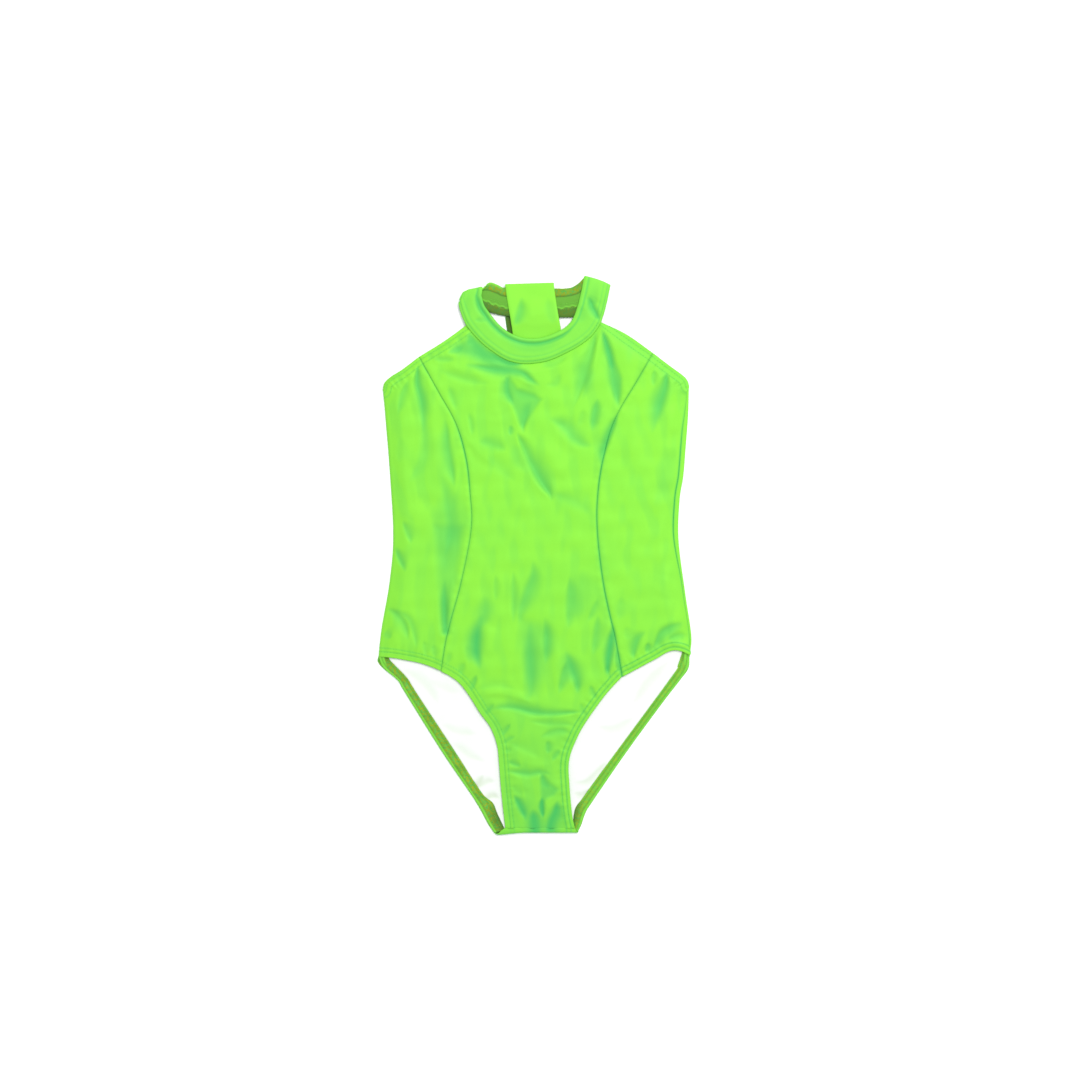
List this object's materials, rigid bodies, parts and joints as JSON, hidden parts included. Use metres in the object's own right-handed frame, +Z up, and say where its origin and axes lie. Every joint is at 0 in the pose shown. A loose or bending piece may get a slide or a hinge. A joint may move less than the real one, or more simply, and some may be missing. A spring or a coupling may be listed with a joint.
{
  "type": "leotard",
  "caption": "Child's high-necked sleeveless leotard laid flat on its back, front up: princess panels, open back with a strap looped over the neckband, lined back showing in the leg openings.",
  "frame": {"origin": "on the flat underside of the back, on the centre line, midway between the crotch and the top of the neckband", "axes": "+X to the right seen from above, +Y along the garment towards the neck, +Z up from the surface that it lies on, out of its front"},
  "size_m": [0.3127, 0.5589, 0.0074],
  "materials": {
    "lime_cloth": "satin",
    "cloth_inside": "matte",
    "white_lining": "matte"
  },
  "bodies": {
    "root": {"front_centre": "lime_cloth", "front_side_left": "lime_cloth", "front_side_right": "lime_cloth", "back_panel": "lime_cloth", "back_lining": "white_lining", "back_leg_hem_left": "cloth_inside", "back_leg_hem_right": "cloth_inside", "neckband_front": "lime_cloth", "neckband_back": "cloth_inside", "back_strap": "lime_cloth"}
  },
  "joints": []
}
